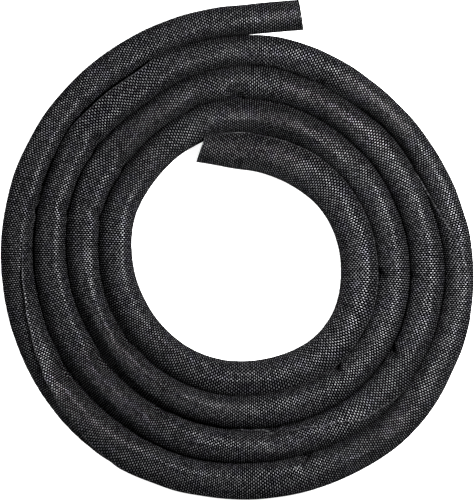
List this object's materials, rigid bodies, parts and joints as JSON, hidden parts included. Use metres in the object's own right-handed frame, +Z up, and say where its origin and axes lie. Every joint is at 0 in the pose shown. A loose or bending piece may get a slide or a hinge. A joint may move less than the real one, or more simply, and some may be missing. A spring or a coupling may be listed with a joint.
{
  "type": "braided cable sleeve",
  "caption": "Black woven split cable sleeve, 19 mm nominal, 3.05 m long, rolled round itself with an overlapping flap and laid flat in a loose spiral of four turns with both cut ends free.",
  "frame": {"origin": "on the floor under the middle of the coil's box", "axes": "+Z up, out of the flat of the coil; +Y along the coil's longest side, towards the outer cut end; +X the way the outer cut end's mouth faces"},
  "size_m": [0.3268, 0.3414, 0.0203],
  "materials": {
    "woven_polyester": "black woven monofilament and yarn, matt with a faint sheen, light flecks where the weft shows"
  },
  "bodies": {
    "root": {"braided_sleeve": "woven_polyester"}
  },
  "joints": []
}
